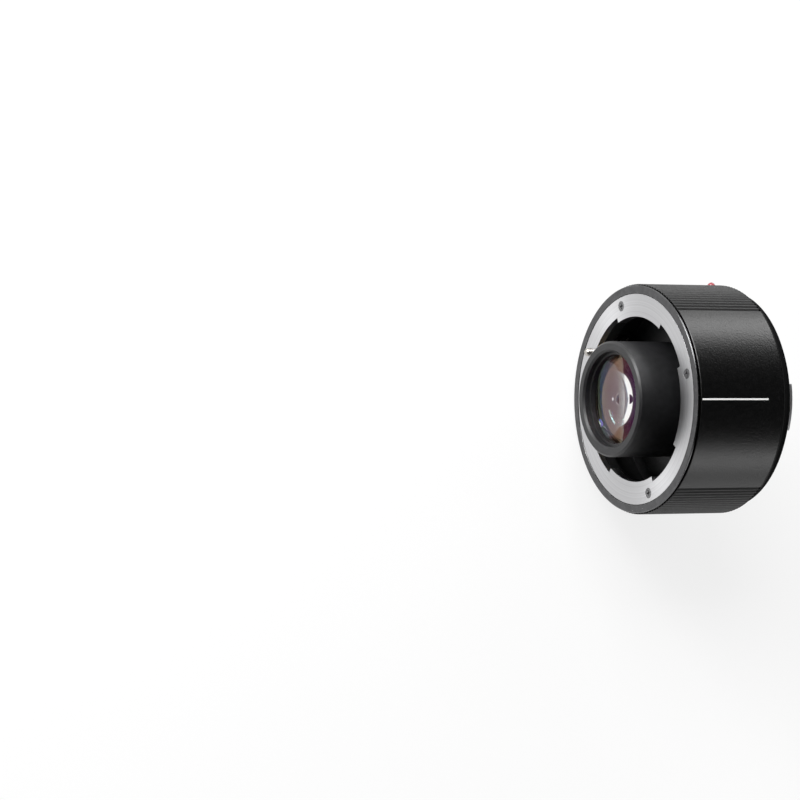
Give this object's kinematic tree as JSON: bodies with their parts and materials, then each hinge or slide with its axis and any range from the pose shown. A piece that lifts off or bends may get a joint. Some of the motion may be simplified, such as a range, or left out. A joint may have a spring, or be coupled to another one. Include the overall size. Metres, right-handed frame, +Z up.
{
  "type": "camera teleconverter",
  "caption": "Short black ribbed barrel that fits between a camera and a lens, with a bayonet mount at each end, lenses inside, sprung contacts and a release knob that draws a lock pin.",
  "frame": {"origin": "centre of the rear flange's seat face, on the optical axis", "axes": "-X along the optical axis towards the lens, +Z up, +Y to the side of the red mount dot; the part lies on its side as it comes to rest on a table, on its barrel and the edge of its release knob, with the index line on top"},
  "size_m": [0.0476, 0.0685, 0.068],
  "materials": {
    "barrel_paint": "satin black paint, fine grain",
    "rim_black": "black chrome, turned, bright at its edges",
    "rim_matte": "black, bead blasted",
    "mount_metal": "satin chrome plating, lathe turned",
    "red_enamel": "gloss red enamel",
    "cast_alloy": "black coated casting",
    "spring_steel": "bare steel",
    "screw_steel": "plated steel",
    "contact_gold": "gold plated",
    "black_plastic": "fine matte moulding",
    "circuit_board": "green solder mask",
    "flex_film": "amber film",
    "black_alloy": "matte black anodised",
    "optical_glass": "coated, polished",
    "black_rubber": "matte"
  },
  "bodies": {
    "body": {"outer_barrel": "barrel_paint", "front_rim_ring": "rim_black", "rear_rim_ring": "rim_matte", "front_bayonet_ring": "mount_metal", "rear_bayonet": "mount_metal", "mount_dot": "red_enamel", "chassis": "cast_alloy", "bayonet_leaf_springs": "spring_steel", "lock_spring": "spring_steel", "contact_springs": "spring_steel", "flange_shim": "spring_steel", "front_mount_screws": "screw_steel", "cam_guide_screws": "screw_steel", "contact_block_screws": "screw_steel", "board_screws": "screw_steel", "front_cell_screws": "screw_steel", "rear_cell_screws": "screw_steel", "rear_mount_screws": "screw_steel", "rear_block_screws": "screw_steel", "rear_contacts": "contact_gold", "front_contact_block": "black_plastic", "rear_contact_block": "black_plastic", "rear_baffle": "black_plastic", "board_chips": "black_plastic", "contact_board": "circuit_board", "main_board": "circuit_board", "flex_cable": "flex_film", "front_cell": "black_alloy", "rear_cell": "black_alloy", "front_retaining_ring": "black_alloy", "middle_retaining_ring": "black_alloy", "rear_retaining_ring": "black_alloy", "lens_spacer": "black_alloy", "lens_element_1": "optical_glass", "lens_element_2": "optical_glass", "lens_element_3": "optical_glass", "lens_element_4": "optical_glass", "lens_element_5": "optical_glass", "lens_element_6": "optical_glass", "lens_element_7": "optical_glass", "mount_gasket": "black_rubber"},
    "release": {"release_knob": "barrel_paint", "release_cam_plate": "spring_steel", "knob_screw": "screw_steel"},
    "lock": {"lock_pin": "spring_steel", "lock_cross_pin": "spring_steel"},
    "contacts": {"contact_pins": "contact_gold"}
  },
  "joints": [
    {"name": "release_turn", "type": "hinge", "parent": "body", "child": "release", "pos_m": [-0.0239, 0, 0], "axis": [-1, 0, 0], "range_deg": [0, 6], "stiffness_Nm_per_rad": 0.4, "springref_deg": -5.73},
    {"name": "lock_drop", "type": "slide", "parent": "body", "child": "lock", "axis": [1, 0, 0], "range_m": [0, 0.0018], "deforming": ["lock_spring"]},
    {"name": "contact_press", "type": "slide", "parent": "body", "child": "contacts", "axis": [1, 0, 0], "range_m": [0, 0.0009], "stiffness_N_per_m": 2000, "springref_m": -0.0005, "deforming": ["contact_springs"]}
  ],
  "couplings": [
    {"joint": "lock_drop", "follows": "release_turn", "m_per_rad": 0.017189}
  ]
}
